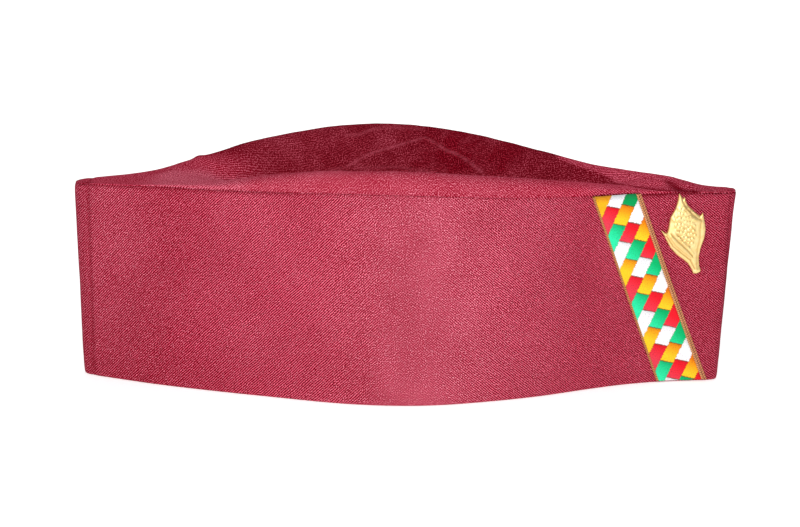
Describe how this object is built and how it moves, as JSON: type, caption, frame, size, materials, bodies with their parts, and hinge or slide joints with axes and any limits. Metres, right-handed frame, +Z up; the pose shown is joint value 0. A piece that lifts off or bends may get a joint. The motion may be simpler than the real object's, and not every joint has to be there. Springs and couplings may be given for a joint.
{
  "type": "pahadi cap",
  "caption": "Boat-shaped cloth cap with stiffened side walls, a sunken soft crown, a slanted woven ribbon and a cast flower bud badge near one tip.",
  "frame": {"origin": "on the ground under the middle of the cap's bounding box, with the rim resting on the ground", "axes": "+X along the cap towards the tip that carries the ribbon and badge, -Y out of the side wall that carries them, +Z up out of the crown"},
  "size_m": [0.2746, 0.0934, 0.1032],
  "materials": {
    "wall_cloth": "matt twill with a slight sheen",
    "crown_cloth": "matt twill, unstiffened",
    "ribbon_weave": "satin blocks in four colours between corded edges",
    "badge_brass": "polished cast relief",
    "pin_brass": "plain"
  },
  "bodies": {
    "root": {"near_side_panel": "wall_cloth", "far_side_panel": "wall_cloth", "crown": "crown_cloth", "ribbon": "ribbon_weave", "flower_badge": "badge_brass", "badge_pin": "pin_brass"}
  },
  "joints": []
}
